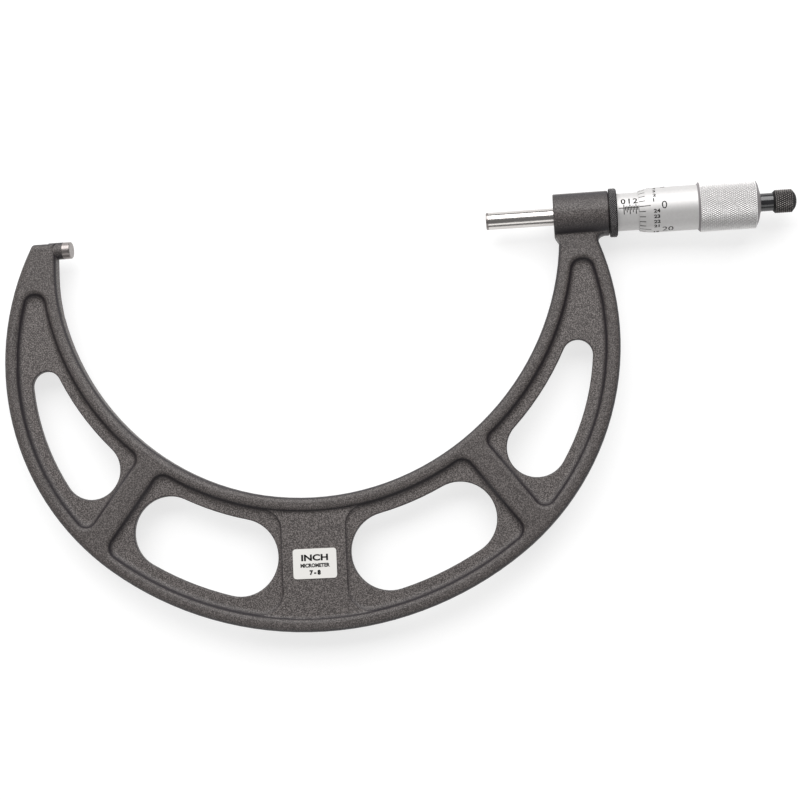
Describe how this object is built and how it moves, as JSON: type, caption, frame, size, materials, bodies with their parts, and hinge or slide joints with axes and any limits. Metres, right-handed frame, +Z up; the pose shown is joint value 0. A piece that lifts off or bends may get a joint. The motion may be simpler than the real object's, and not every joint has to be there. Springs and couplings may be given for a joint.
{
  "type": "outside micrometer",
  "caption": "C-frame outside micrometer for 7 to 8 inches with anvil, screw-fed spindle, lock ring, graduated sleeve and thimble, and ratchet stop.",
  "frame": {"origin": "centre of the anvil's measuring face", "axes": "+X along the measuring axis from the anvil's face to the spindle, -Y from that axis to the base of the bow, +Z up out of the front face as the instrument lies flat"},
  "size_m": [0.3459, 0.1826, 0.0214],
  "materials": {
    "frame_enamel": "dark grey-black wrinkle enamel on cast iron",
    "ground_steel": "ground and lapped",
    "carbide": "lapped carbide",
    "label_white": "satin white plate",
    "machined_steel": "machined",
    "black_oxide_knurl": "black oxide, diamond knurl",
    "satin_chrome": "satin chrome",
    "chrome_knurl": "satin chrome, fine diamond knurl",
    "gloss_black": "polished black"
  },
  "bodies": {
    "frame": {"frame": "frame_enamel", "anvil": "ground_steel", "anvil_tip": "carbide", "range_label": "label_white", "inner_barrel": "machined_steel", "lock_collet": "machined_steel"},
    "lock_ring": {"lock_ring": "black_oxide_knurl"},
    "sleeve": {"sleeve": "satin_chrome"},
    "adjusting_nut": {"adjusting_nut": "machined_steel"},
    "carriage": {"thimble_washer": "machined_steel"},
    "thimble": {"spindle": "ground_steel", "spindle_tip": "carbide", "thimble": "satin_chrome", "thimble_grip": "chrome_knurl", "ratchet_stem": "gloss_black", "ratchet_screw": "machined_steel"},
    "ratchet_knob": {"ratchet_knob": "black_oxide_knurl", "ratchet_cap": "black_oxide_knurl", "ratchet_spring": "machined_steel"},
    "ratchet_clutch": {"ratchet_clutch": "machined_steel"}
  },
  "joints": [
    {"name": "spindle_feed", "type": "slide", "parent": "frame", "child": "carriage", "axis": [1, 0, 0], "range_m": [-0.00635, 0.01905]},
    {"name": "thimble_turn", "type": "hinge", "parent": "carriage", "child": "thimble", "pos_m": [0.25, 0, 0], "axis": [1, 0, 0], "range_deg": [-3600, 10800]},
    {"name": "ratchet_turn", "type": "hinge", "parent": "thimble", "child": "ratchet_knob", "pos_m": [0.31, 0, 0], "axis": [1, 0, 0], "continuous": true},
    {"name": "clutch_hop", "type": "slide", "parent": "ratchet_knob", "child": "ratchet_clutch", "axis": [1, 0, 0], "range_m": [0, 0.0005], "stiffness_N_per_m": 200, "springref_m": -0.002, "deforming": ["ratchet_spring"]},
    {"name": "lock_ring_turn", "type": "hinge", "parent": "frame", "child": "lock_ring", "pos_m": [0.238, 0, 0], "axis": [-1, 0, 0], "range_deg": [0, 60]},
    {"name": "sleeve_zero_set", "type": "hinge", "parent": "frame", "child": "sleeve", "pos_m": [0.25, 0, 0], "axis": [1, 0, 0], "range_deg": [-20, 20]},
    {"name": "adjusting_nut_turn", "type": "hinge", "parent": "frame", "child": "adjusting_nut", "pos_m": [0.2775, 0, 0], "axis": [1, 0, 0], "range_deg": [-45, 45]}
  ],
  "couplings": [
    {"joint": "thimble_turn", "follows": "spindle_feed", "rad_per_m": 9894.7}
  ]
}
